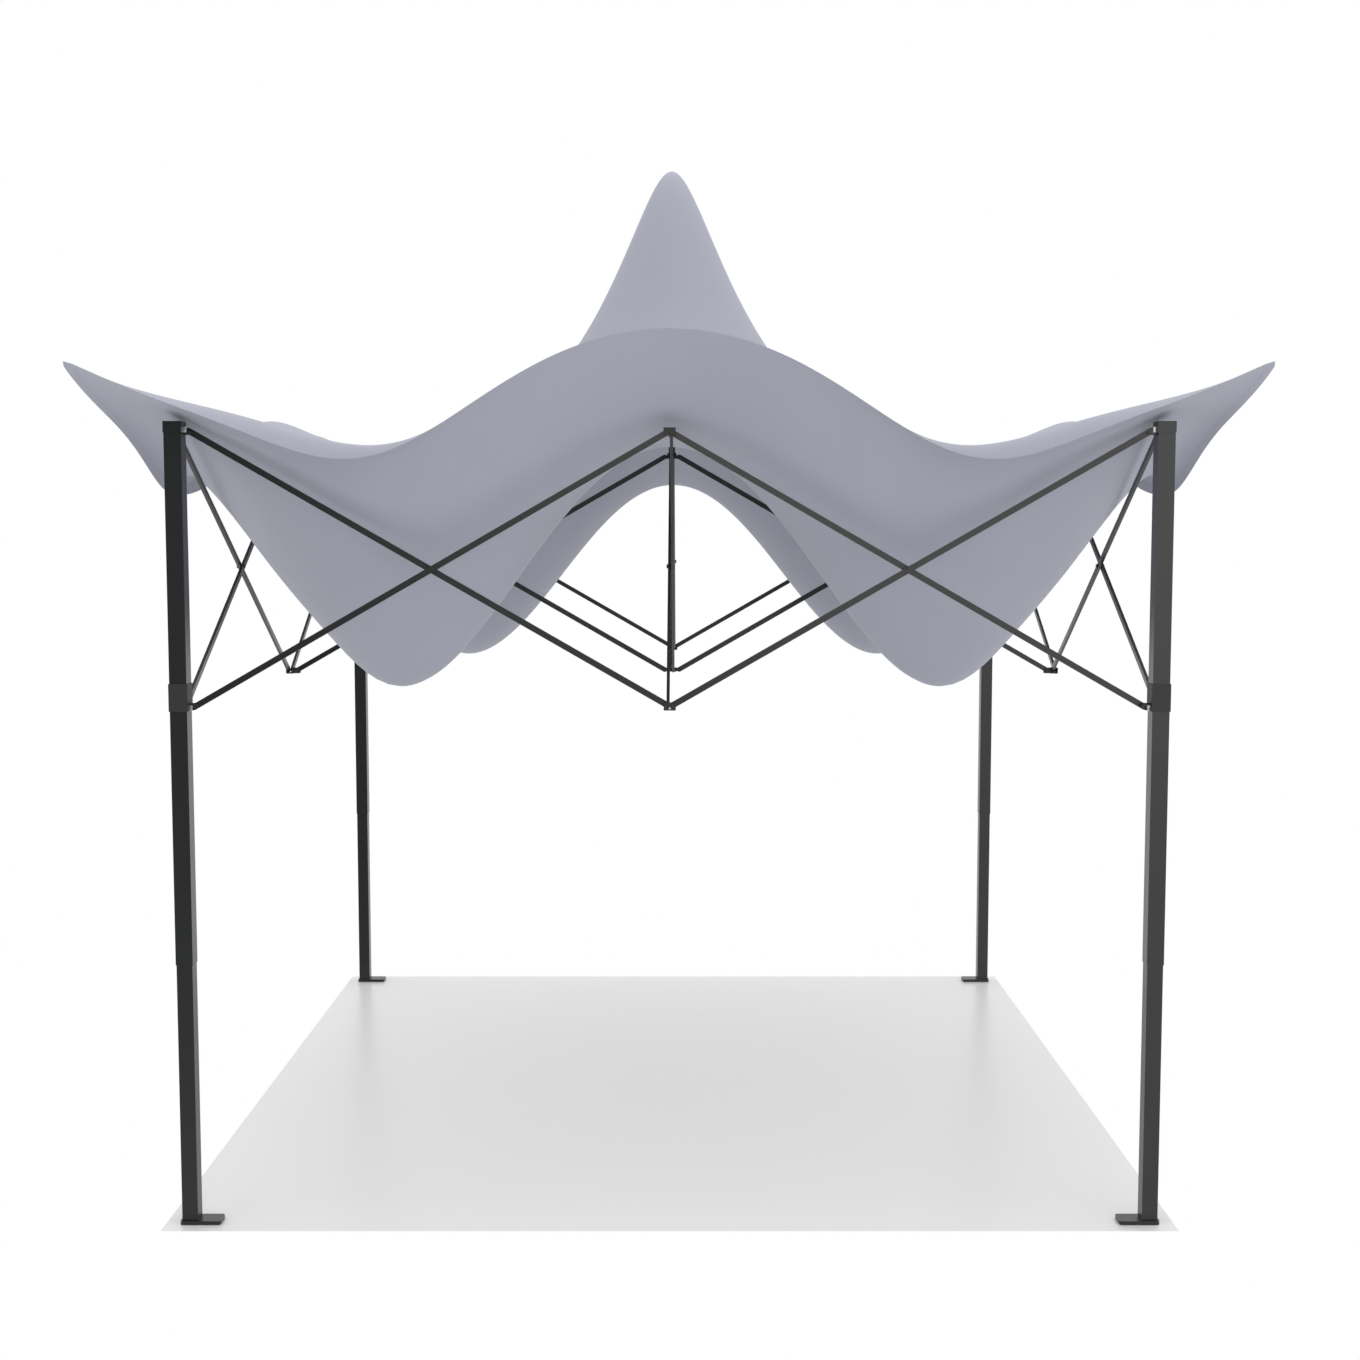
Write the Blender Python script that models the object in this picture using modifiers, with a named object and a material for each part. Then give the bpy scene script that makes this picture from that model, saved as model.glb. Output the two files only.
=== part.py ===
"""Pop-up party tent: a folding scissor frame on four telescoping legs under one draped canopy.

Metres, +Z up. The origin lies on the ground at the middle of the four feet and the front is -Y.
Every scissor bar has the same length and slope, so one fold angle closes the whole frame.
"""
import math

import bmesh
import bpy
from mathutils import Matrix, Vector

# The plan: legs on the corners of a square, hubs halfway along its sides and one at its middle.
LEG_SPACING = 2.90
HALF_SPACING = LEG_SPACING / 2
TOP_PIVOT_Z = 2.376
BOTTOM_PIVOT_Z = 1.574
MIDDLE_Z = (TOP_PIVOT_Z + BOTTOM_PIVOT_Z) / 2

# Small distances: touching pieces stand SEAT_GAP apart, faces of one piece that would lie in one
# plane are set FACE_STEP apart, and a cut runs CUT_PAST beyond what it cuts.
SEAT_GAP = 0.0003
FACE_STEP = 0.001
CUT_PAST = 0.02

# Scissor bars: flat-sided tube on edge, crossed in pairs that lie side by side. A bar runs on past
# its pivots, by more at a leg than at a hub.
BAR_THICKNESS = 0.0095
BAR_DEPTH = 0.018
BAR_PLANE = 0.00515
HUB_TIP = BAR_DEPTH / 2
LEG_TIP = 0.019

# How far each pivot stands from the middle of the leg or hub that holds it.
LEG_REACH = 0.050
SIDE_REACH = 0.0075
INWARD_REACH = 0.030
CENTRE_REACH = LEG_REACH + SIDE_REACH - INWARD_REACH

BAR_RUN = HALF_SPACING - LEG_REACH - SIDE_REACH
BAR_RISE = TOP_PIVOT_Z - BOTTOM_PIVOT_Z
BAR_LENGTH = math.hypot(BAR_RUN, BAR_RISE)
BAR_SLOPE = math.atan2(BAR_RISE, BAR_RUN)

# Pivot pins, their holes, rounded ends and the rivet where two bars cross.
PIN_SIDES = 6
PIN_RADIUS = 0.003
HOLE_RADIUS = (PIN_RADIUS + SEAT_GAP) / math.cos(math.pi / PIN_SIDES)
END_SEGMENTS = 2
END_ROUNDING = 0.9
RIVET_HEAD_RADIUS = 0.007
RIVET_HEAD_THICKNESS = 0.005
RIVET_END_THICKNESS = 0.002

# Ears: the pair of cheeks that holds a bar's end.
EAR_THICKNESS = 0.0025
EAR_INSIDE = BAR_PLANE + BAR_THICKNESS / 2 + SEAT_GAP
EAR_OUTSIDE = EAR_INSIDE + EAR_THICKNESS
EAR_RADIUS = 0.0060
EAR_ROOT = 0.0012
PIN_END = EAR_OUTSIDE + 0.0018

# Hub blocks. A bridge joins the cheeks on the side that no bar swings towards.
HUB_HALF_WIDTH = 0.018
HUB_BRIDGE = 0.0040
HUB_TAIL = 0.0075
SWING_CLEARANCE = 0.0015
BRIDGE_INSIDE = BAR_DEPTH / 2 + SWING_CLEARANCE
BRIDGE_OUTSIDE = BRIDGE_INSIDE + HUB_BRIDGE

# Legs: square outer tube with a cap, square inner tube and a plate foot.
LEG_TOP_Z = 2.408
OUTER_TUBE = 0.051
OUTER_WALL = 0.0014
OUTER_END_Z = 0.796
CAP_WIDTH = 0.054
CAP_HEIGHT = 0.033
CAP_ROOF = 0.004
INNER_TUBE = 0.0475
INNER_WALL = 0.002
INNER_TOP_Z = 1.45
INNER_FLOOR = 0.002
FOOT_LENGTH = 0.122
FOOT_WIDTH = 0.060
FOOT_THICKNESS = 0.012
FOOT_OUTER_LIP = 0.006
FOOT_CORNER = 0.008
FOOT_CORNER_SEGMENTS = 3

# Sliding collars on the legs.
SLIDER_WIDTH = 0.056
SLIDER_LOW_Z = 1.557
SLIDER_TOP_Z = 1.639

# Centre mast, which holds up the peak on a round cap.
MAST_RADIUS = 0.0125
MAST_CAP_RADIUS = 0.021
MAST_CAP_RINGS = 10
MAST_SIDES = 16

# Canopy: one cloth, described by how far each of its features stands off its general level.
CLOTH_HALF = 1.701
CLOTH_BOW = 0.034
CORNER_POWER = 90
CLOTH_THICKNESS = 0.002
CLOTH_SPOKES = 64
CLOTH_RINGS = 24
CLOTH_LEVEL = 2.5062
PEAK_RISE = 1.182
PEAK_WIDTH = 0.284
PEAK_POWER = 1.213
PEAK_ROUND = 0.088
LOBE_DEPTH = 0.941
LOBE_PLACE = 0.898
LOBE_WIDTH = 0.408
LOBE_LEAN = 0.299
TIP_RISE = 0.094
TIP_POWER = 9.00
END_FLARE_RISE = 0.332
SIDE_FLARE_RISE = 0.162
FLARE_POWER = 7.6
ARCH_WIDTH = 1.242
ARCH_POWER = 6
FRONT_RIDGE = 0.047
SIDE_RIDGE = 0.047
BACK_RIDGE = -0.014
RIDGE_PLACE = 1.126
RIDGE_WIDTH = 0.167
SHOULDER_RISE = 0.156
SHOULDER_PLACE = 1.569
SHOULDER_WIDTH = 0.418
SHOULDER_SPAN = 0.778
SHOULDER_POWER = 5.87
DIP_POWER = 20
FRONT_DIP = 0.478
FRONT_DIP_PLACE = 0.899
FRONT_DIP_WIDTH = 0.407
SIDE_DIP = 0.586
SIDE_DIP_PLACE = 0.472
SIDE_DIP_WIDTH = 0.642

# Colours from the photograph, as linear values.
CHARCOAL = (0.028, 0.028, 0.030, 1.0)
BLACK_PLASTIC = (0.018, 0.018, 0.019, 1.0)
BLUE_GREY = (0.305, 0.315, 0.375, 1.0)

# Sides and corners, each with its turn in degrees about +Z from +X and from the front left.
SIDES = {"right": 0.0, "back": 90.0, "left": 180.0, "front": 270.0}
CORNERS = {"front_left": 0.0, "front_right": 90.0, "back_right": 180.0, "back_left": 270.0}
QUARTER = 90.0


def clear_scene():
    for old in list(bpy.data.objects):
        bpy.data.objects.remove(old, do_unlink=True)


def make_collection(name):
    collection = bpy.data.collections.new(name)
    bpy.context.scene.collection.children.link(collection)
    return collection


def make_material(name, colour, roughness, metallic):
    material = bpy.data.materials.new(name)
    material.use_nodes = True
    shader = material.node_tree.nodes["Principled BSDF"]
    shader.inputs["Base Color"].default_value = colour
    shader.inputs["Roughness"].default_value = roughness
    shader.inputs["Metallic"].default_value = metallic
    return material


def turn_z(degrees):
    return Matrix.Rotation(math.radians(degrees), 4, "Z")


def mesh_from(shape, name):
    """Turns a finished bmesh into a mesh."""
    mesh = bpy.data.meshes.new(name)
    shape.to_mesh(mesh)
    shape.free()
    return mesh


def box(low, high):
    """A box between two corners."""
    shape = bmesh.new()
    size = Vector(high) - Vector(low)
    middle = (Vector(high) + Vector(low)) / 2
    matrix = Matrix.Translation(middle) @ Matrix.Diagonal((size.x, size.y, size.z, 1.0))
    bmesh.ops.create_cube(shape, size=1.0, matrix=matrix)
    return mesh_from(shape, "box")


def rounded_box(low, high, ends_x, radius):
    """A box whose ends at the given x are rounded about the Y direction."""
    shape = bmesh.new()
    shape.from_mesh(box(low, high))
    corners = []
    for edge in shape.edges:
        first, second = (vertex.co for vertex in edge.verts)
        runs_across = math.isclose(first.x, second.x) and math.isclose(first.z, second.z)
        if runs_across and any(math.isclose(first.x, end, rel_tol=1e-5) for end in ends_x):
            corners.append(edge)
    bmesh.ops.bevel(
        shape, geom=corners, offset=radius, segments=END_SEGMENTS, affect="EDGES", profile=0.5
    )
    return mesh_from(shape, "rounded_box")


def rod(radius, low, high, axis="Y", centre=(0.0, 0.0, 0.0), sides=PIN_SIDES):
    """A cylinder along an axis, from low to high along it, through a point."""
    turns = {
        "X": Matrix.Rotation(math.pi / 2, 4, "Y"),
        "Y": Matrix.Rotation(-math.pi / 2, 4, "X"),
        "Z": Matrix(),
    }
    half_facet = Matrix.Rotation(math.pi / sides, 4, "Z")
    shift = Matrix.Translation((0.0, 0.0, (low + high) / 2))
    matrix = Matrix.Translation(centre) @ turns[axis] @ shift @ half_facet
    shape = bmesh.new()
    bmesh.ops.create_cone(
        shape,
        cap_ends=True,
        segments=sides,
        radius1=radius,
        radius2=radius,
        depth=high - low,
        matrix=matrix,
    )
    return mesh_from(shape, "rod")


def turned(mesh, degrees):
    """The same shape turned about +Z."""
    mesh.transform(turn_z(degrees))
    return mesh


def fused(name, first, steps):
    """One mesh from a first shape and a list of (operation, shape) steps."""
    body = bpy.data.objects.new(name, first)
    bpy.context.scene.collection.objects.link(body)
    tools = []
    for operation, mesh in steps:
        tool = bpy.data.objects.new(name + "_tool", mesh)
        bpy.context.scene.collection.objects.link(tool)
        tools.append(tool)
        modifier = body.modifiers.new(operation.lower(), "BOOLEAN")
        modifier.operation = operation
        modifier.object = tool
        modifier.solver = "EXACT"
    bpy.context.view_layer.update()
    graph = bpy.context.evaluated_depsgraph_get()
    result = bpy.data.meshes.new_from_object(body.evaluated_get(graph))
    result.name = name
    for used in [body] + tools:
        bpy.data.objects.remove(used, do_unlink=True)
    return result


def place(name, mesh, material, matrix, collection):
    """An object that shows the mesh at a place, in one material."""
    piece = bpy.data.objects.new(name, mesh)
    if not mesh.materials:
        mesh.materials.append(material)
    piece.matrix_world = matrix
    collection.objects.link(piece)
    return piece


def bar_mesh(name, start, far_tip, with_rivet):
    """A scissor bar along +X from start, with a pin hole at each end and a rivet or its hole midway."""
    end = start + BAR_LENGTH
    middle = start + BAR_LENGTH / 2
    half = BAR_THICKNESS / 2
    half_depth = BAR_DEPTH / 2
    ends = (start - HUB_TIP, end + far_tip)
    low = (ends[0], -half, -half_depth)
    high = (ends[1], half, half_depth)
    shaft = rounded_box(low, high, ends, END_ROUNDING * half_depth)
    holes = [start, end] if with_rivet else [start, end, middle]
    steps = []
    for x in holes:
        hole = rod(HOLE_RADIUS, -BAR_THICKNESS, BAR_THICKNESS, centre=(x, 0.0, 0.0))
        steps.append(("DIFFERENCE", hole))
    if with_rivet:
        at = (middle, 0.0, 0.0)
        partner_near = 2 * BAR_PLANE - half
        head = -half - RIVET_HEAD_THICKNESS
        end_start = 2 * BAR_PLANE + half + SEAT_GAP
        end_far = end_start + RIVET_END_THICKNESS
        steps.append(("UNION", rod(RIVET_HEAD_RADIUS, head, partner_near - SEAT_GAP, centre=at)))
        steps.append(("UNION", rod(PIN_RADIUS, 0.0, end_start + FACE_STEP, centre=at)))
        steps.append(("UNION", rod(RIVET_HEAD_RADIUS, end_start, end_far, centre=at)))
    return fused(name, shaft, steps)


def ear_step(root, reach, pivot_z, degrees):
    """The step that adds an arm for a pair of ears, standing out from root towards degrees about +Z."""
    low = (root, -EAR_OUTSIDE, pivot_z - EAR_RADIUS)
    high = (reach + EAR_RADIUS, EAR_OUTSIDE, pivot_z + EAR_RADIUS)
    arm = rounded_box(low, high, (high[0],), END_ROUNDING * EAR_RADIUS)
    return ("UNION", turned(arm, degrees))


def slot_steps(start, reach, pivot_z, degrees):
    """The steps that cut the slot between a pair of ears and put the pin across it."""
    low = (start, -EAR_INSIDE, pivot_z - 2 * EAR_RADIUS)
    high = (reach + 2 * EAR_RADIUS, EAR_INSIDE, pivot_z + 2 * EAR_RADIUS)
    pin = rod(PIN_RADIUS, -PIN_END, PIN_END, centre=(reach, 0.0, pivot_z))
    return [("DIFFERENCE", turned(box(low, high), degrees)), ("UNION", turned(pin, degrees))]


def square_post(half, low_z, high_z):
    return box((-half, -half, low_z), (half, half, high_z))


def upper_leg_mesh():
    """Outer leg tube with its top cap and two pairs of ears, towards +X and +Y."""
    half_tube = OUTER_TUBE / 2
    half_cap = CAP_WIDTH / 2
    half_hollow = half_tube - OUTER_WALL
    tube = square_post(half_tube, OUTER_END_Z, LEG_TOP_Z - FACE_STEP)
    steps = [("UNION", square_post(half_cap, LEG_TOP_Z - CAP_HEIGHT, LEG_TOP_Z))]
    for degrees in (0.0, QUARTER):
        steps.append(ear_step(half_hollow + FACE_STEP / 2, LEG_REACH, TOP_PIVOT_Z, degrees))
    hollow = square_post(half_hollow, OUTER_END_Z - CUT_PAST, LEG_TOP_Z - CAP_ROOF)
    steps.append(("DIFFERENCE", hollow))
    for degrees in (0.0, QUARTER):
        steps += slot_steps(half_cap + EAR_ROOT, LEG_REACH, TOP_PIVOT_Z, degrees)
    return fused("upper_leg", tube, steps)


def slider_mesh():
    """Sliding collar with its two pairs of ears, towards +X and +Y."""
    half = SLIDER_WIDTH / 2
    inside = OUTER_TUBE / 2 + SEAT_GAP
    collar = square_post(half, SLIDER_LOW_Z, SLIDER_TOP_Z)
    steps = []
    for degrees in (0.0, QUARTER):
        steps.append(ear_step(inside + FACE_STEP, LEG_REACH, BOTTOM_PIVOT_Z, degrees))
    bore = square_post(inside, SLIDER_LOW_Z - CUT_PAST, SLIDER_TOP_Z + CUT_PAST)
    steps.append(("DIFFERENCE", bore))
    for degrees in (0.0, QUARTER):
        steps += slot_steps(half + EAR_ROOT, LEG_REACH, BOTTOM_PIVOT_Z, degrees)
    return fused("slider", collar, steps)


def foot_plate():
    """The foot's plate with rounded corners, its long end towards +X."""
    low_x = -INNER_TUBE / 2 - FOOT_OUTER_LIP
    low = (low_x, -FOOT_WIDTH / 2, 0.0)
    shape = bmesh.new()
    shape.from_mesh(box(low, (low_x + FOOT_LENGTH, FOOT_WIDTH / 2, FOOT_THICKNESS)))
    upright = [edge for edge in shape.edges if abs(edge.verts[0].co.z - edge.verts[1].co.z) > FACE_STEP]
    bmesh.ops.bevel(
        shape,
        geom=upright,
        offset=FOOT_CORNER,
        segments=FOOT_CORNER_SEGMENTS,
        affect="EDGES",
        profile=0.5,
    )
    return mesh_from(shape, "foot")


def lower_leg_mesh():
    """Inner leg tube, open at the top, on its foot plate."""
    half = INNER_TUBE / 2
    hollow = square_post(half - INNER_WALL, FOOT_THICKNESS + INNER_FLOOR, INNER_TOP_Z + CUT_PAST)
    tube = square_post(half, FOOT_THICKNESS / 2, INNER_TOP_Z)
    return fused("lower_leg", foot_plate(), [("UNION", tube), ("DIFFERENCE", hollow)])


def heights(pivot_z, bridge, tail, bridge_above):
    """Lower and upper z of what reaches bridge to one side of a hub's pivots and tail to the other."""
    up = 1.0 if bridge_above else -1.0
    return sorted((pivot_z + up * bridge, pivot_z - up * tail))


def side_hub_mesh(name, pivot_z, bridge_above):
    """Hub halfway along a side: it holds two bars along X and one towards +Y."""
    arm_end = INWARD_REACH + EAR_RADIUS
    low_z, high_z = heights(pivot_z, BRIDGE_OUTSIDE, HUB_TAIL, bridge_above)
    block = box((-HUB_HALF_WIDTH, -EAR_OUTSIDE, low_z), (HUB_HALF_WIDTH, EAR_OUTSIDE, high_z))
    arm_low = low_z + FACE_STEP
    arm_high = high_z - FACE_STEP
    arm = box((-EAR_OUTSIDE, 0.0, arm_low), (EAR_OUTSIDE, arm_end, arm_high))
    room_low, room_high = heights(pivot_z, BRIDGE_INSIDE, HUB_TAIL + CUT_PAST, bridge_above)
    past_block = HUB_HALF_WIDTH + CUT_PAST
    past_arm = arm_end + CUT_PAST
    steps = [
        ("UNION", arm),
        ("DIFFERENCE", box((-past_block, -EAR_INSIDE, room_low), (past_block, EAR_INSIDE, room_high))),
        ("DIFFERENCE", box((-EAR_INSIDE, EAR_OUTSIDE, room_low), (EAR_INSIDE, past_arm, room_high))),
    ]
    for x in (-SIDE_REACH, SIDE_REACH):
        steps.append(("UNION", rod(PIN_RADIUS, -PIN_END, PIN_END, centre=(x, 0.0, pivot_z))))
    cross_pin = rod(PIN_RADIUS, -PIN_END, PIN_END, axis="X", centre=(0.0, INWARD_REACH, pivot_z))
    steps.append(("UNION", cross_pin))
    return fused(name, block, steps)


def centre_hub_mesh(name, pivot_z, bridge_above):
    """Hub at the middle of the frame: a solid core with four pairs of ears."""
    half_core = CENTRE_REACH - BRIDGE_INSIDE
    low_z = pivot_z - EAR_RADIUS - FACE_STEP
    high_z = pivot_z + (BRIDGE_OUTSIDE if bridge_above else EAR_RADIUS + FACE_STEP)
    core = square_post(half_core, low_z, high_z)
    steps = []
    for degrees in SIDES.values():
        steps.append(ear_step(half_core - EAR_ROOT, CENTRE_REACH, pivot_z, degrees))
    for degrees in SIDES.values():
        steps += slot_steps(half_core, CENTRE_REACH, pivot_z, degrees)
    return fused(name, core, steps)


def mast_mesh(foot_z, top_z):
    """Round mast with the round cap that carries the peak of the cloth."""
    cap_z = top_z - MAST_CAP_RADIUS
    shaft = rod(MAST_RADIUS, foot_z, cap_z, axis="Z", sides=MAST_SIDES)
    cap = bmesh.new()
    bmesh.ops.create_uvsphere(
        cap,
        u_segments=MAST_SIDES,
        v_segments=MAST_CAP_RINGS,
        radius=MAST_CAP_RADIUS,
        matrix=Matrix.Translation((0.0, 0.0, cap_z)),
    )
    return fused("mast", shaft, [("UNION", mesh_from(cap, "cap"))])


def bump(offset, width, power=2):
    """A smooth bump of height 1 about zero."""
    return math.exp(-((abs(offset) / width) ** power))


def twin_bumps(offset, place_off, width):
    """Two bumps, one on each side of zero."""
    return bump(offset - place_off, width) + bump(offset + place_off, width)


def lobes(x, y):
    """The four lobes that hang between the peak and the legs, each drawn out across its diagonal."""
    total = 0.0
    for side_x in (-1, 1):
        for side_y in (-1, 1):
            off_x = x - side_x * LOBE_PLACE
            off_y = y - side_y * LOBE_PLACE
            lean = 2 * LOBE_LEAN * side_x * side_y * off_x * off_y
            total += math.exp(-(off_x ** 2 + off_y ** 2 + lean) / (2 * LOBE_WIDTH ** 2))
    return total


def canopy_height(x, y):
    """Height of the cloth's underside over a point of the plan."""
    across, along = abs(x) / CLOTH_HALF, abs(y) / CLOTH_HALF
    front_share = 0.5 * (1 - math.tanh(2 * y))
    end_ridge = FRONT_RIDGE * front_share + BACK_RIDGE * (1 - front_share)
    peak = PEAK_RISE * bump(math.hypot(x, y, PEAK_ROUND), PEAK_WIDTH, PEAK_POWER)
    tips = TIP_RISE * (across * along) ** TIP_POWER
    end_arch = END_FLARE_RISE * along ** FLARE_POWER
    end_arch += end_ridge * twin_bumps(y, RIDGE_PLACE, RIDGE_WIDTH)
    side_arch = SIDE_FLARE_RISE * across ** FLARE_POWER
    side_arch += SIDE_RIDGE * twin_bumps(x, RIDGE_PLACE, RIDGE_WIDTH)
    end_dip = FRONT_DIP * along ** DIP_POWER * twin_bumps(x, FRONT_DIP_PLACE, FRONT_DIP_WIDTH)
    side_dip = SIDE_DIP * across ** DIP_POWER * twin_bumps(y, SIDE_DIP_PLACE, SIDE_DIP_WIDTH)
    height = CLOTH_LEVEL + peak + tips - LOBE_DEPTH * lobes(x, y) - end_dip - side_dip
    height += bump(x, ARCH_WIDTH, ARCH_POWER) * end_arch
    height += bump(y, ARCH_WIDTH, ARCH_POWER) * side_arch
    shoulder = SHOULDER_RISE * twin_bumps(x, SHOULDER_PLACE, SHOULDER_WIDTH)
    height += shoulder * bump(y, SHOULDER_SPAN, SHOULDER_POWER)
    return height


def canopy_plan(radius, angle):
    """Plan position on the cloth, from the peak at radius 0 to the edge at 1, which bows in a little."""
    across, along = abs(math.cos(angle)), abs(math.sin(angle))
    to_square = (across ** CORNER_POWER + along ** CORNER_POWER) ** (-1 / CORNER_POWER)
    spread = radius * (1 + radius ** 2 * (to_square - 1))
    s, t = spread * math.cos(angle), spread * math.sin(angle)
    x = CLOTH_HALF * s * (1 - CLOTH_BOW * (1 - t * t) * s * s)
    y = CLOTH_HALF * t * (1 - CLOTH_BOW * (1 - s * s) * t * t)
    return x, y


def make_canopy(material, collection):
    """The cloth as a spun disc of rings and spokes, moved to its shape and given its thickness."""
    shape = bmesh.new()
    line = []
    for ring in range(CLOTH_RINGS + 1):
        radius = (1 - math.cos(math.pi * ring / CLOTH_RINGS)) / 2
        line.append(shape.verts.new((radius, 0.0, 0.0)))
    spokes = [shape.edges.new(pair) for pair in zip(line, line[1:])]
    bmesh.ops.spin(
        shape,
        geom=line + spokes,
        axis=(0.0, 0.0, 1.0),
        cent=(0.0, 0.0, 0.0),
        angle=2 * math.pi,
        steps=CLOTH_SPOKES,
        use_merge=True,
    )
    bmesh.ops.remove_doubles(shape, verts=shape.verts, dist=FACE_STEP / 10)
    for vertex in shape.verts:
        flat_x, flat_y = vertex.co.x, vertex.co.y
        x, y = canopy_plan(math.hypot(flat_x, flat_y), math.atan2(flat_y, flat_x))
        vertex.co = (x, y, canopy_height(x, y))
    bmesh.ops.recalc_face_normals(shape, faces=shape.faces)
    if sum(face.normal.z for face in shape.faces) < 0:
        bmesh.ops.reverse_faces(shape, faces=shape.faces)
    bmesh.ops.triangulate(shape, faces=shape.faces, quad_method="SHORT_EDGE")
    mesh = mesh_from(shape, "canopy")
    mesh.shade_smooth()
    canopy = place("canopy", mesh, material, Matrix(), collection)
    thickness = canopy.modifiers.new("cloth_thickness", "SOLIDIFY")
    thickness.thickness = CLOTH_THICKNESS
    thickness.offset = 1.0


def bar_pair(name, far_tip):
    """The two bars of a crossed pair, each about its own joint: bar a its start, bar b its middle."""
    return {
        "a": bar_mesh(name + "_a", 0.0, far_tip, True),
        "b": bar_mesh(name + "_b", -BAR_LENGTH / 2, far_tip, False),
    }


def place_half_span(name, hub, degrees, reach, rises, bars, material, collection):
    """A crossed pair of bars from a hub outwards: bar a carries the rivet, bar b has its hole."""
    frame = Matrix.Translation(hub) @ turn_z(degrees)
    start_z, tilt = (BOTTOM_PIVOT_Z, -BAR_SLOPE) if rises else (TOP_PIVOT_Z, BAR_SLOPE)
    start = Matrix.Translation((reach, -BAR_PLANE, start_z))
    middle = Matrix.Translation((reach + BAR_RUN / 2, BAR_PLANE, MIDDLE_Z))
    turn_a = Matrix.Rotation(tilt, 4, "Y")
    turn_b = Matrix.Rotation(-tilt, 4, "Y")
    place(name + "_a", bars["a"], material, frame @ start @ turn_a, collection)
    place(name + "_b", bars["b"], material, frame @ middle @ turn_b, collection)


def place_sides(metal, plastic, collection):
    """On each side the two hubs, the bars from the centre and the bars along the side."""
    inner_bars = bar_pair("inner_bar", HUB_TIP)
    side_bars = bar_pair("side_bar", LEG_TIP)
    top_hub = side_hub_mesh("side_top_hub", TOP_PIVOT_Z, True)
    bottom_hub = side_hub_mesh("side_bottom_hub", BOTTOM_PIVOT_Z, False)
    names = list(SIDES)
    for index, (side, degrees) in enumerate(SIDES.items()):
        hub = turn_z(degrees) @ Vector((HALF_SPACING, 0.0, 0.0))
        facing = Matrix.Translation(hub) @ turn_z(degrees + QUARTER)
        place(side + "_top_hub", top_hub, plastic, facing, collection)
        place(side + "_bottom_hub", bottom_hub, plastic, facing, collection)
        centre = (0.0, 0.0, 0.0)
        inner = side + "_inner_bar"
        place_half_span(inner, centre, degrees, CENTRE_REACH, False, inner_bars, metal, collection)
        for step in (1, -1):
            name = f"{side}_{names[(index + step) % len(names)]}_bar"
            onward = degrees + step * QUARTER
            place_half_span(name, hub, onward, SIDE_REACH, True, side_bars, metal, collection)


def place_centre(metal, plastic, collection):
    """The two centre hubs and the mast that stands on the upper one."""
    top_hub = centre_hub_mesh("centre_top", TOP_PIVOT_Z, True)
    bottom_hub = centre_hub_mesh("centre_bottom", BOTTOM_PIVOT_Z, False)
    mast = mast_mesh(TOP_PIVOT_Z + BRIDGE_OUTSIDE + SEAT_GAP, canopy_height(0.0, 0.0) - SEAT_GAP)
    place("centre_top_hub", top_hub, plastic, Matrix(), collection)
    place("centre_bottom_hub", bottom_hub, plastic, Matrix(), collection)
    place("centre_mast", mast, metal, Matrix(), collection)


def place_legs(metal, plastic, collection):
    """At each corner the outer tube, its collar, and the inner tube with its foot pointing inwards."""
    upper_leg = upper_leg_mesh()
    slider = slider_mesh()
    lower_leg = lower_leg_mesh()
    for corner, degrees in CORNERS.items():
        stand = turn_z(degrees) @ Vector((-HALF_SPACING, -HALF_SPACING, 0.0))
        upright = Matrix.Translation(stand)
        foot_turn = turn_z(0.0 if stand.x < 0 else 2 * QUARTER)
        place(corner + "_upper_leg", upper_leg, metal, upright @ turn_z(degrees), collection)
        place(corner + "_slider", slider, plastic, upright @ turn_z(degrees), collection)
        place(corner + "_lower_leg", lower_leg, metal, upright @ foot_turn, collection)


def main():
    clear_scene()
    tent = make_collection("pop_up_party_tent")
    metal = make_material("charcoal_powder_coat", CHARCOAL, 0.45, 0.3)
    plastic = make_material("black_moulded_plastic", BLACK_PLASTIC, 0.5, 0.0)
    cloth = make_material("blue_grey_polyester", BLUE_GREY, 0.8, 0.0)
    place_sides(metal, plastic, tent)
    place_centre(metal, plastic, tent)
    place_legs(metal, plastic, tent)
    make_canopy(cloth, tent)


main()
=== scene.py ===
"""Pop-up party tent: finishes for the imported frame, its bolts and plates, and the canopy.

Metres, +Z up. The origin lies on the ground at the middle of the four feet and the front is -Y.
"""
import math

import bmesh
import bpy
from mathutils import Matrix, Vector


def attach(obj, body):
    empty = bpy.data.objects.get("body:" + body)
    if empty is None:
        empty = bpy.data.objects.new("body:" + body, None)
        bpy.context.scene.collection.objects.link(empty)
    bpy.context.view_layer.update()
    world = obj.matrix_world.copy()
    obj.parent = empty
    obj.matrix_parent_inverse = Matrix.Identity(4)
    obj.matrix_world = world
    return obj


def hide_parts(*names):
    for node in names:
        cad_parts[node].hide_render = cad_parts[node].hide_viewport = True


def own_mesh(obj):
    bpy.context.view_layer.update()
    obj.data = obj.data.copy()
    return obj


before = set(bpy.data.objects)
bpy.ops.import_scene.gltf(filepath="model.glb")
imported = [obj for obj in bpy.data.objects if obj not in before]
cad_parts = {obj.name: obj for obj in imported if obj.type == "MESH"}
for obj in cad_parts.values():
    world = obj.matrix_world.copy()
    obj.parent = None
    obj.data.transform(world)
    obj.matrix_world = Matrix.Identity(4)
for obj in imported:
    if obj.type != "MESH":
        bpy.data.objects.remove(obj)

MM = 0.001
MERGE_DISTANCE = 0.01 * MM

# The photograph's camera, in pixels of its own frame and metres of the tent's.
PHOTO_PIXELS = 1360
FOCAL_PIXELS = 1730
SENSOR_MM = 36
CAMERA_PLACE = (0.0304, -6.5577, 2.0557)
CAMERA_DOWN = 4.55

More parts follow.
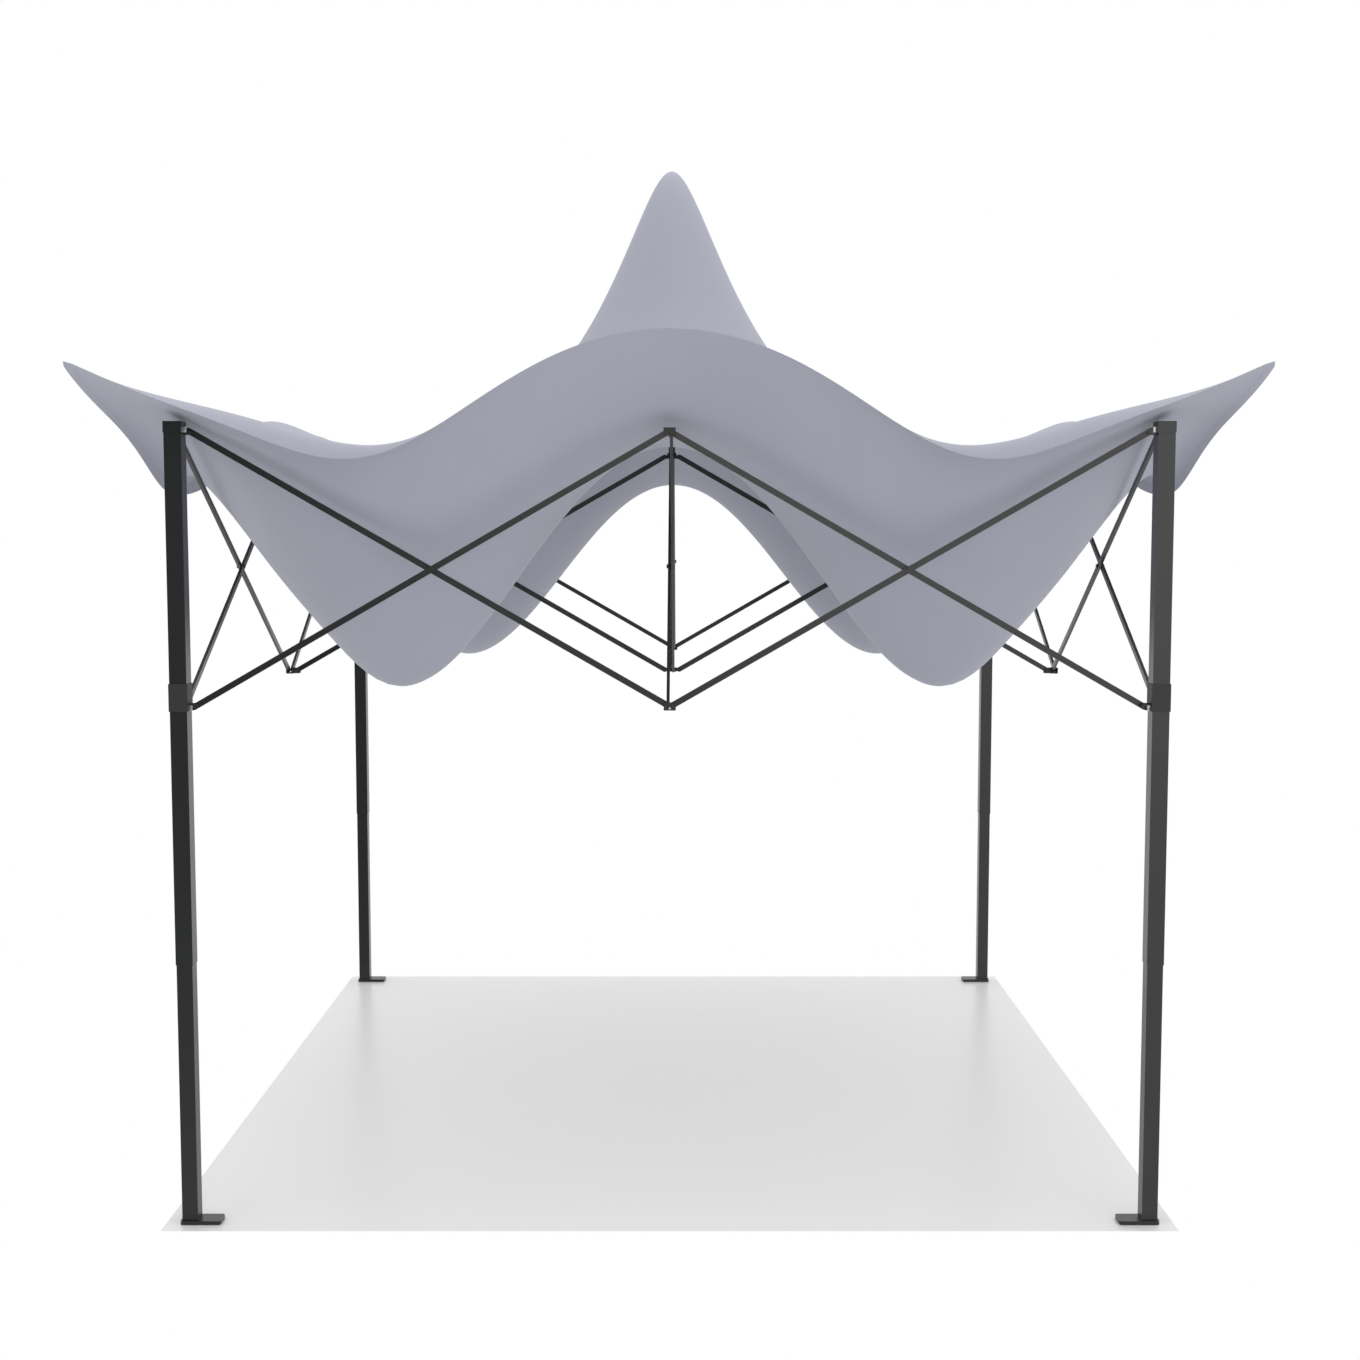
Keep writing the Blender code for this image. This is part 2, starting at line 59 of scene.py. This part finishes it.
# The pale floor, as wide as the photograph shows it, and just under the feet.
FLOOR_SIDE = 3.05
FLOOR_DROP = 0.5 * MM

# The white surroundings have a dim bay to the left of the camera and a bright one to its right, each
# given by its direction, the angles at which it ends and is full, and what it adds to the white.
BAYS = (
    ((-0.29, -0.95, 0.06), 30, 15, -0.95),
    ((0.30, -0.95, 0.12), 18, 6, 1.1),
)

# Frame sizes that the fittings and the cloth need.
LEG_SPACING = 2.90
HALF_SPACING = LEG_SPACING / 2
TOP_PIVOT_Z = 2.376
BOTTOM_PIVOT_Z = 1.574
LEG_REACH = 50 * MM
SIDE_REACH = 7.5 * MM
EAR_FACE = 12.7 * MM

# Legs and sides of the frame, each a quarter turn on from the one before, and where the first stands.
CORNERS = ("front_left", "front_right", "back_right", "back_left")
SIDES = ("front", "right", "back", "left")
FIRST_CORNER = (-HALF_SPACING, -HALF_SPACING)
FIRST_SIDE = (0.0, -HALF_SPACING)

# A round bolt: its head's radius and height, rounded rim, and the border and depth of its dish.
BOLT_HEAD = 4.2 * MM
BOLT_RISE = 2.6 * MM
BOLT_RIM = 1.17 * MM
BOLT_BORDER = 1.26 * MM
BOLT_DISH = 0.3 * MM
HUB_BOLT_DROP = 8 * MM

# A pressed plate on the ears between a leg and its bar, and its middle's place from leg and pivot.
PLATE_LENGTH = 12 * MM
PLATE_HEIGHT = 17 * MM
PLATE_THICKNESS = 1.2 * MM
PLATE_CORNER = 2.5 * MM
PLATE_BORDER = 1.2 * MM
PLATE_SWELL = 0.3 * MM
PLATE_CENTRE = 32 * MM
PLATE_OFFSET = 8 * MM

# Sizes of the patterns in the finishes: patches of uneven coat on the cloth, ripples of the powder
# coat, and the nylon's grain, drawn ten times as coarse as the real one so that it shows.
CLOTH_MOTTLE = 1250 / 3 * MM
ORANGE_PEEL = 5 / 3 * MM
SPARK_GRAIN = 10 / 9 * MM
BUMP_DEPTH = 0.1 * MM

# Canopy: one cloth, described by how far each of its features stands off its general level. Places
# and widths are metres on the plan, and each power says how suddenly a feature ends.
CLOTH_HALF = 1.701
CLOTH_BOW = 0.034
CORNER_POWER = 90
CLOTH_LEVEL = 2.5062
PEAK_RISE = 1.182
PEAK_WIDTH = 0.284
PEAK_POWER = 1.213
PEAK_ROUND = 0.088
LOBE_DEPTH = 0.941
LOBE_PLACE = 0.898
LOBE_WIDTH = 0.408
LOBE_LEAN = 0.299
TIP_RISE = 0.094
TIP_POWER = 9.00
END_FLARE_RISE = 0.332
SIDE_FLARE_RISE = 0.162
FLARE_POWER = 7.6
ARCH_WIDTH = 1.242
ARCH_POWER = 6
FRONT_RIDGE = 0.047
SIDE_RIDGE = 0.047
BACK_RIDGE = -0.014
RIDGE_PLACE = 1.126
RIDGE_WIDTH = 0.167
FRONT_TO_BACK = 2
SHOULDER_RISE = 0.145
SHOULDER_PLACE = 1.569
SHOULDER_WIDTH = 0.418
SHOULDER_SPAN = 0.778
SHOULDER_POWER = 5.87
DIP_POWER = 20
FRONT_DIP = 0.478
FRONT_DIP_PLACE = 0.899
FRONT_DIP_WIDTH = 0.407
SIDE_DIP = 0.586
SIDE_DIP_PLACE = 0.472
SIDE_DIP_WIDTH = 0.642

# How the cloth is cut: gores run from a round peak patch to the edge, which is turned under.
GORES = 32
GORE_SPOKES = 16
SPOKES = GORES * GORE_SPOKES
CLOTH_RINGS = 100
PATCH_RINGS = 11
CLOTH_LIFT = 1.0 * MM
HEM_GAP = 0.4 * MM
HEM_TURNS = (0.0, 1 * MM, 7 * MM, 14 * MM)
SLOPE_STEP = 1 * MM


def linear(hex_colour):
    """An sRGB hex colour as linear RGBA."""
    values = []
    for start in (1, 3, 5):
        share = int(hex_colour[start:start + 2], 16) / 255
        values.append(share / 12.92 if share <= 0.04045 else ((share + 0.055) / 1.055) ** 2.4)
    return (*values, 1.0)


def add(tree, kind, inputs=None, **settings):
    """Adds a node with its settings, and with each input's value or the output that feeds it."""
    node = tree.nodes.new(kind)
    for name, value in settings.items():
        setattr(node, name, value)
    for socket, value in (inputs or {}).items():
        if isinstance(value, bpy.types.NodeSocket):
            tree.links.new(value, node.inputs[socket])
        else:
            node.inputs[socket].default_value = value
    return node


def new_material(name):
    """A material with only its Principled shader, and its node tree."""
    material = bpy.data.materials.new(name)
    material.use_nodes = True
    return material, material.node_tree, material.node_tree.nodes["Principled BSDF"]


def roughen(tree, shader, size, strength):
    """Gives a surface a fine even grain of small bumps."""
    place = add(tree, "ShaderNodeTexCoord").outputs["Object"]
    grain = add(tree, "ShaderNodeTexNoise", {"Vector": place, "Scale": 1 / size, "Detail": 2.0})
    bumps = add(
        tree,
        "ShaderNodeBump",
        {"Height": grain.outputs["Fac"], "Strength": strength, "Distance": BUMP_DEPTH},
    )
    tree.links.new(bumps.outputs["Normal"], shader.inputs["Normal"])


def coated_polyester():
    """Woven polyester with a thin coat: matt, paler where the weave is seen edge on, faintly mottled."""
    material, tree, shader = new_material("coated_polyester_oxford")
    place = add(tree, "ShaderNodeUVMap", uv_map="cloth").outputs["UV"]
    cloud = add(
        tree,
        "ShaderNodeTexNoise",
        {"Vector": place, "Scale": 1 / CLOTH_MOTTLE, "Detail": 3.0},
    )
    tone = add(
        tree,
        "ShaderNodeMix",
        {"Factor": cloud.outputs["Fac"], 6: linear("#9b9daa"), 7: linear("#a0a2af")},
        data_type="RGBA",
    )
    shader.inputs["Roughness"].default_value = 0.78
    shader.inputs["Sheen Weight"].default_value = 0.08
    tree.links.new(tone.outputs[2], shader.inputs["Base Color"])
    return material


def powder_coat():
    """Charcoal powder coat on aluminium tube: satin, with a fine orange peel."""
    material, tree, shader = new_material("charcoal_powder_coat")
    shader.inputs["Base Color"].default_value = linear("#1f2021")
    shader.inputs["Roughness"].default_value = 0.30
    roughen(tree, shader, ORANGE_PEEL, 0.03)
    return material


def moulded_nylon():
    """Glass-filled nylon, injection moulded: black, dull, with the mould's spark-eroded grain."""
    material, tree, shader = new_material("moulded_nylon")
    shader.inputs["Base Color"].default_value = linear("#1f2021")
    shader.inputs["Roughness"].default_value = 0.55
    roughen(tree, shader, SPARK_GRAIN, 0.12)
    return material


def zinc_plate():
    """Bright zinc plating on pressed steel: pale grey, a little blurred by handling."""
    material, _, shader = new_material("zinc_plated_steel")
    shader.inputs["Base Color"].default_value = linear("#b4b7b9")
    shader.inputs["Metallic"].default_value = 1.0
    shader.inputs["Roughness"].default_value = 0.34
    return material


def bump(offset, width, power=2):
    """A smooth bump of height 1 about zero."""
    return math.exp(-((abs(offset) / width) ** power))


def twin_bumps(offset, place_off, width):
    """Two bumps, one on each side of zero."""
    return bump(offset - place_off, width) + bump(offset + place_off, width)


def lobes(x, y):
    """The four lobes that hang between the peak and the legs, each drawn out across its diagonal."""
    total = 0.0
    for side_x in (-1, 1):
        for side_y in (-1, 1):
            off_x = x - side_x * LOBE_PLACE
            off_y = y - side_y * LOBE_PLACE
            lean = 2 * LOBE_LEAN * side_x * side_y * off_x * off_y
            total += math.exp(-(off_x ** 2 + off_y ** 2 + lean) / (2 * LOBE_WIDTH ** 2))
    return total


def canopy_height(x, y):
    """Height of the cloth's underside over a point of the plan."""
    across, along = abs(x) / CLOTH_HALF, abs(y) / CLOTH_HALF
    front_share = 0.5 * (1 - math.tanh(FRONT_TO_BACK * y))
    end_ridge = FRONT_RIDGE * front_share + BACK_RIDGE * (1 - front_share)
    peak = PEAK_RISE * bump(math.hypot(x, y, PEAK_ROUND), PEAK_WIDTH, PEAK_POWER)
    tips = TIP_RISE * (across * along) ** TIP_POWER
    end_arch = END_FLARE_RISE * along ** FLARE_POWER
    end_arch += end_ridge * twin_bumps(y, RIDGE_PLACE, RIDGE_WIDTH)
    side_arch = SIDE_FLARE_RISE * across ** FLARE_POWER
    side_arch += SIDE_RIDGE * twin_bumps(x, RIDGE_PLACE, RIDGE_WIDTH)
    end_dip = FRONT_DIP * along ** DIP_POWER * twin_bumps(x, FRONT_DIP_PLACE, FRONT_DIP_WIDTH)
    side_dip = SIDE_DIP * across ** DIP_POWER * twin_bumps(y, SIDE_DIP_PLACE, SIDE_DIP_WIDTH)
    height = CLOTH_LEVEL + peak + tips - LOBE_DEPTH * lobes(x, y) - end_dip - side_dip
    height += bump(x, ARCH_WIDTH, ARCH_POWER) * end_arch
    height += bump(y, ARCH_WIDTH, ARCH_POWER) * side_arch
    shoulder = SHOULDER_RISE * twin_bumps(x, SHOULDER_PLACE, SHOULDER_WIDTH)
    height += shoulder * bump(y, SHOULDER_SPAN, SHOULDER_POWER)
    return height


def canopy_plan(radius, angle):
    """Place on the plan, from the peak at radius 0 to the edge at 1, which bows in a little."""
    across, along = abs(math.cos(angle)), abs(math.sin(angle))
    to_square = (across ** CORNER_POWER + along ** CORNER_POWER) ** (-1 / CORNER_POWER)
    spread = radius * (1 + radius ** 2 * (to_square - 1))
    s, t = spread * math.cos(angle), spread * math.sin(angle)
    x = CLOTH_HALF * s * (1 - CLOTH_BOW * (1 - t * t) * s * s)
    y = CLOTH_HALF * t * (1 - CLOTH_BOW * (1 - s * s) * t * t)
    return x, y


def ring_radius(ring):
    """Radius of a ring on the plan: the rings are closest at the peak and at the edge."""
    return (1 - math.cos(math.pi * ring / CLOTH_RINGS)) / 2


def cloth_point(radius, angle, below=0.0):
    """A point of the cloth, or one that lies a distance below it, square to its surface."""
    x, y = canopy_plan(radius, angle)
    point = Vector((x, y, canopy_height(x, y) + CLOTH_LIFT))
    if below:
        slope_x = canopy_height(x + SLOPE_STEP, y) - canopy_height(x - SLOPE_STEP, y)
        slope_y = canopy_height(x, y + SLOPE_STEP) - canopy_height(x, y - SLOPE_STEP)
        up = Vector((-slope_x, -slope_y, 2 * SLOPE_STEP)).normalized()
        point -= up * below
    return point


def spoke_points(spoke):
    """The points of one spoke: from the peak to the edge, and back underneath for the hem."""
    angle = 2 * math.pi * spoke / SPOKES
    points = [cloth_point(ring_radius(ring), angle) for ring in range(CLOTH_RINGS + 1)]
    for turn in HEM_TURNS:
        points.append(cloth_point(1 - turn / CLOTH_HALF, angle, HEM_GAP))
    return points


def walked_lengths(points):
    """How far each point lies from the first, measured along all those between."""
    walked = [0.0]
    for first, second in zip(points, points[1:]):
        walked.append(walked[-1] + (second - first).length)
    return walked


def make_cloth():
    """The whole canopy as one grid of spokes and rings, with its own map of the flat cloth."""
    columns = CLOTH_RINGS + len(HEM_TURNS)
    shape = bmesh.new()
    bmesh.ops.create_grid(shape, x_segments=columns, y_segments=SPOKES, size=0.5)
    lines = [spoke_points(spoke) for spoke in range(SPOKES + 1)]
    flat = [walked_lengths(line) for line in lines]
    uv = shape.loops.layers.uv.new("cloth")
    gore_of = shape.faces.layers.int.new("gore")
    ring_of = shape.faces.layers.int.new("ring")
    places = {}
    for vertex in shape.verts:
        places[vertex] = (round((vertex.co.y + 0.5) * SPOKES), round((vertex.co.x + 0.5) * columns))
    for face in shape.faces:
        spoke = min(places[vertex][0] for vertex in face.verts)
        face[gore_of] = ((spoke + GORE_SPOKES // 2) // GORE_SPOKES) % GORES
        face[ring_of] = min(places[vertex][1] for vertex in face.verts)
        face.smooth = True
        for loop in face.loops:
            line, column = places[loop.vert]
            angle = 2 * math.pi * line / SPOKES
            length = flat[line][column]
            loop[uv].uv = (length * math.cos(angle), length * math.sin(angle))
    for vertex, (line, column) in places.items():
        vertex.co = lines[line][column]
    close_cloth(shape)
    return shape


def close_cloth(shape):
    """Closes the grid into a round, turns its top upwards, and notes its normals while it is whole."""
    bmesh.ops.remove_doubles(shape, verts=shape.verts, dist=MERGE_DISTANCE)
    bmesh.ops.recalc_face_normals(shape, faces=shape.faces)
    shape.faces.ensure_lookup_table()
    ring_of = shape.faces.layers.int["ring"]
    top = [face for face in shape.faces if face[ring_of] < CLOTH_RINGS]
    if sum(face.normal.z for face in top) < 0:
        bmesh.ops.reverse_faces(shape, faces=shape.faces)
    shape.normal_update()
    whole = shape.verts.layers.float_vector.new("whole_normal")
    for vertex in shape.verts:
        vertex[whole] = vertex.normal


def cut_piece(cloth, name, wanted, material):
    """One piece of the cloth and its area: the faces wanted, shaded as the whole sheet is."""
    shape = cloth.copy()
    gore_of = shape.faces.layers.int["gore"]
    ring_of = shape.faces.layers.int["ring"]
    spare = [face for face in shape.faces if not wanted(face[gore_of], face[ring_of])]
    bmesh.ops.delete(shape, geom=spare, context="FACES")
    whole = shape.verts.layers.float_vector["whole_normal"]
    normals = [vertex[whole].copy() for vertex in shape.verts]
    area = sum(face.calc_area() for face in shape.faces)
    shape.verts.layers.float_vector.remove(whole)
    for layer in ("gore", "ring"):
        shape.faces.layers.int.remove(shape.faces.layers.int[layer])
    mesh = bpy.data.meshes.new(name)
    shape.to_mesh(mesh)
    shape.free()
    mesh.normals_split_custom_set_from_vertices(normals)
    mesh.materials.append(material)
    piece = bpy.data.objects.new(name, mesh)
    bpy.context.scene.collection.objects.link(piece)
    return piece, area


def gore_size(gore):
    """Width at its widest and length of a gore as it is cut, hem included."""
    first = (gore - 0.5) * GORE_SPOKES
    lines = [spoke_points(first + step)[PATCH_RINGS:] for step in range(GORE_SPOKES + 1)]
    width = max((right - left).length for left, right in zip(lines[0], lines[-1]))
    return width, walked_lengths(lines[GORE_SPOKES // 2])[-1]


def hang(piece, flat):
    """Puts a piece of the cloth in the canopy's place, on the frame's top body. The flat size is not
    used.
    """
    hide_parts("canopy")
    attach(piece, "frame_top")


def make_canopy(material):
    """The peak patch and the gores, each hung on the frame's top body."""
    cloth = make_cloth()
    patch, area = cut_piece(cloth, "canopy_peak", lambda gore, ring: ring < PATCH_RINGS, material)
    across = 2 * math.sqrt(area / math.pi)
    hang(patch, (across, across))
    for gore in range(GORES):
        piece, area = cut_piece(
            cloth,
            f"canopy_gore_{gore + 1:02d}",
            lambda own, ring, gore=gore: own == gore and ring >= PATCH_RINGS,
            material,
        )
        hang(piece, gore_size(gore))
        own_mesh(piece)
    cloth.free()


def finish_frame(metal, plastic):
    """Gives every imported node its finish."""
    for name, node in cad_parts.items():
        if name == "canopy":
            continue
        moulded = "hub" in name or "slider" in name
        node.data.materials.clear()
        node.data.materials.append(plastic if moulded else metal)


def lies_at(point, **wanted):
    """Whether a point has the x, y or z that is given."""
    return all(abs(getattr(point, axis) - value) < MERGE_DISTANCE for axis, value in wanted.items())


def select_where(obj, kind, wanted):
    """Enters edit mode with only those faces or edges selected whose points all pass a test."""
    bpy.ops.object.mode_set(mode="EDIT")
    bpy.ops.mesh.select_mode(type="FACE" if kind == "polygons" else "EDGE")
    bpy.ops.mesh.select_all(action="DESELECT")
    bpy.ops.object.mode_set(mode="OBJECT")
    for part in getattr(obj.data, kind):
        part.select = all(wanted(obj.data.vertices[index].co) for index in part.vertices)
    bpy.ops.object.mode_set(mode="EDIT")


def finish_mesh(obj, material, smooth_angle):
    """Leaves edit mode, puts the object's place into its mesh, and gives it its finish."""
    bpy.ops.object.mode_set(mode="EDIT")
    bpy.ops.mesh.select_all(action="SELECT")
    bpy.ops.mesh.remove_doubles(threshold=MERGE_DISTANCE)
    bpy.ops.mesh.normals_make_consistent(inside=False)
    bpy.ops.object.mode_set(mode="OBJECT")
    bpy.ops.object.transform_apply(location=True, rotation=True, scale=True)
    bpy.ops.object.shade_smooth_by_angle(angle=math.radians(smooth_angle))
    obj.data.materials.clear()
    obj.data.materials.append(material)


def round_bolt(material):
    """A round bolt head that stands towards -Y from the origin, with a rounded rim and a dished face."""
    bpy.ops.object.select_all(action="DESELECT")
    bpy.ops.mesh.primitive_cylinder_add(
        vertices=16,
        radius=BOLT_HEAD,
        depth=BOLT_RISE,
        location=(0.0, -BOLT_RISE / 2, 0.0),
        rotation=(math.radians(90), 0.0, 0.0),
    )
    bolt = bpy.context.object
    bpy.ops.object.transform_apply(location=True, rotation=True, scale=True)
    select_where(bolt, "edges", lambda point: lies_at(point, y=-BOLT_RISE))
    bpy.ops.mesh.bevel(offset=BOLT_RIM, segments=3, affect="EDGES")
    select_where(bolt, "polygons", lambda point: lies_at(point, y=-BOLT_RISE))
    bpy.ops.mesh.inset(thickness=BOLT_BORDER)
    bpy.ops.transform.translate(value=(0.0, BOLT_DISH, 0.0))
    finish_mesh(bolt, material, 40)
    return bolt


def bracket_plate(material):
    """A pressed plate with round corners, flat on the plane y = 0, raised a little within its border."""
    bpy.ops.object.select_all(action="DESELECT")
    bpy.ops.mesh.primitive_cube_add(
        size=1.0,
        location=(0.0, -PLATE_THICKNESS / 2, 0.0),
        scale=(PLATE_LENGTH, PLATE_THICKNESS, PLATE_HEIGHT),
    )
    plate = bpy.context.object
    bpy.ops.object.transform_apply(location=True, rotation=True, scale=True)
    for x in (-PLATE_LENGTH / 2, PLATE_LENGTH / 2):
        for z in (-PLATE_HEIGHT / 2, PLATE_HEIGHT / 2):
            select_where(plate, "edges", lambda point, x=x, z=z: lies_at(point, x=x, z=z))
            bpy.ops.mesh.bevel(offset=PLATE_CORNER, segments=3, affect="EDGES")
    select_where(plate, "polygons", lambda point: lies_at(point, y=-PLATE_THICKNESS))
    bpy.ops.mesh.inset(thickness=PLATE_BORDER)
    bpy.ops.transform.translate(value=(0.0, -PLATE_SWELL, 0.0))
    finish_mesh(plate, material, 30)
    return plate


def copied(source, name, *steps):
    """A copy with its own mesh, taken through the steps: each turns it about +Z, then moves it."""
    copy = bpy.data.objects.new(name, source.data.copy())
    for quarters, move in steps:
        turn = Matrix.Rotation(math.pi / 2 * quarters, 4, "Z")
        copy.data.transform(Matrix.Translation(move) @ turn)
    bpy.context.scene.collection.objects.link(copy)
    return copy


def joined(name, pieces):
    """One object made of all the pieces."""
    bpy.ops.object.select_all(action="DESELECT")
    for piece in pieces:
        piece.select_set(True)
    bpy.context.view_layer.objects.active = pieces[0]
    bpy.ops.object.join()
    pieces[0].name = name
    return pieces[0]


def on_both_ears(placed):
    """Copies of each fitting on both outside faces of a pair of ears, which reach towards +X."""
    pieces = []
    for half_turn, outside in ((0, -EAR_FACE), (2, EAR_FACE)):
        for source, along, rise in placed:
            pieces.append(copied(source, "fitting", (half_turn, (along, outside, rise))))
    return pieces


def leg_fittings(bolt, plate, up):
    """Bolts and plates of one leg's two brackets, towards +X and +Y, about the leg's middle."""
    bracket = ((bolt, LEG_REACH, 0.0), (plate, PLATE_CENTRE, up * PLATE_OFFSET))
    pieces = on_both_ears(bracket)
    for piece in list(pieces):
        pieces.append(copied(piece, "fitting", (1, (0.0, 0.0, 0.0))))
    return joined("leg_fittings", pieces)


def hub_fittings(pivot_bolt, middle_bolt):
    """Bolts on both faces of a side hub: one at each of its two pivots, and one between and below."""
    bolts = (
        (pivot_bolt, -SIDE_REACH, 0.0),
        (pivot_bolt, SIDE_REACH, 0.0),
        (middle_bolt, 0.0, -HUB_BOLT_DROP),
    )
    return joined("hub_fittings", on_both_ears(bolts))


def make_fittings(metal, zinc):
    """The fittings of every leg cap, collar and side hub, each on its own body."""
    dark_bolt = round_bolt(metal)
    bright_bolt = round_bolt(zinc)
    plate = bracket_plate(zinc)
    on_cap = leg_fittings(dark_bolt, plate, 1)
    on_collar = leg_fittings(dark_bolt, plate, -1)
    on_top_hub = hub_fittings(dark_bolt, dark_bolt)
    on_bottom_hub = hub_fittings(dark_bolt, bright_bolt)
    of_leg = ((on_cap, "upper_leg", TOP_PIVOT_Z), (on_collar, "slider", BOTTOM_PIVOT_Z))
    of_side = ((on_top_hub, "top_hub", TOP_PIVOT_Z), (on_bottom_hub, "bottom_hub", BOTTOM_PIVOT_Z))
    for places, first, fittings in ((CORNERS, FIRST_CORNER, of_leg), (SIDES, FIRST_SIDE, of_side)):
        for quarters, place in enumerate(places):
            for source, ending, level in fittings:
                body = f"{place}_{ending}"
                to_first = (0, (*first, level))
                round_tent = (quarters, (0.0, 0.0, 0.0))
                piece = copied(source, f"{body}_fittings", to_first, round_tent)
                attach(piece, body)
    for spare in (dark_bolt, bright_bolt, plate, on_cap, on_collar, on_top_hub, on_bottom_hub):
        bpy.data.objects.remove(spare)


def add_area_light(name, place, aim, size, power):
    """A soft square light that faces its aim."""
    light = bpy.data.lights.new(name, "AREA")
    light.size = size
    light.energy = power
    lamp = bpy.data.objects.new(name, light)
    lamp.location = place
    lamp.rotation_euler = (Vector(aim) - Vector(place)).to_track_quat("-Z", "Y").to_euler()
    bpy.context.scene.collection.objects.link(lamp)


def white_surroundings():
    """White all round, but for the two bays that the metal reflects."""
    world = bpy.data.worlds.new("white_studio")
    world.use_nodes = True
    tree = world.node_tree
    facing = add(tree, "ShaderNodeTexCoord").outputs["Generated"]
    strength = 1.0
    for towards, end, full, change in BAYS:
        nearness = add(
            tree,
            "ShaderNodeVectorMath",
            {0: facing, 1: Vector(towards).normalized()},
            operation="DOT_PRODUCT",
        )
        share = add(
            tree,
            "ShaderNodeMapRange",
            {
                "Value": nearness.outputs["Value"],
                "From Min": math.cos(math.radians(end)),
                "From Max": math.cos(math.radians(full)),
                "To Max": change,
            },
            interpolation_type="SMOOTHSTEP",
        )
        total = add(
            tree,
            "ShaderNodeMath",
            {0: strength, 1: share.outputs["Result"]},
            operation="ADD",
        )
        strength = total.outputs["Value"]
    background = tree.nodes["Background"]
    background.inputs["Color"].default_value = (1.0, 1.0, 1.0, 1.0)
    tree.links.new(strength, background.inputs["Strength"])
    return world


def make_studio():
    """Pale floor, white surroundings and soft light."""
    bpy.ops.mesh.primitive_plane_add(size=FLOOR_SIDE, location=(0.0, 0.0, -FLOOR_DROP))
    floor = bpy.context.object
    floor.name = "studio_floor"
    material, _, shader = new_material("pale_studio_floor")
    shader.inputs["Base Color"].default_value = linear("#f4f4f3")
    shader.inputs["Roughness"].default_value = 0.30
    floor.data.materials.append(material)
    bpy.context.scene.world = white_surroundings()
    add_area_light(
        "soft_light_above",
        place=(0.0, 0.0, 8.0),
        aim=(0.0, 0.0, 1.5),
        size=5.0,
        power=135.0,
    )
    add_area_light(
        "soft_light_in_front",
        place=(0.0, -9.0, 3.5),
        aim=(0.0, 0.0, 2.0),
        size=4.0,
        power=50.0,
    )
    bpy.context.scene.view_settings.view_transform = "Standard"


def make_camera():
    """The camera, where the photograph was taken from."""
    data = bpy.data.cameras.new("photo_camera")
    data.sensor_width = SENSOR_MM
    data.lens = SENSOR_MM * FOCAL_PIXELS / PHOTO_PIXELS
    camera = bpy.data.objects.new("photo_camera", data)
    camera.location = CAMERA_PLACE
    camera.rotation_euler = (math.radians(90 - CAMERA_DOWN), 0.0, 0.0)
    bpy.context.scene.collection.objects.link(camera)
    bpy.context.scene.camera = camera


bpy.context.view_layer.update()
make_camera()
make_studio()
frame_metal = powder_coat()
finish_frame(frame_metal, moulded_nylon())
make_fittings(frame_metal, zinc_plate())
make_canopy(coated_polyester())
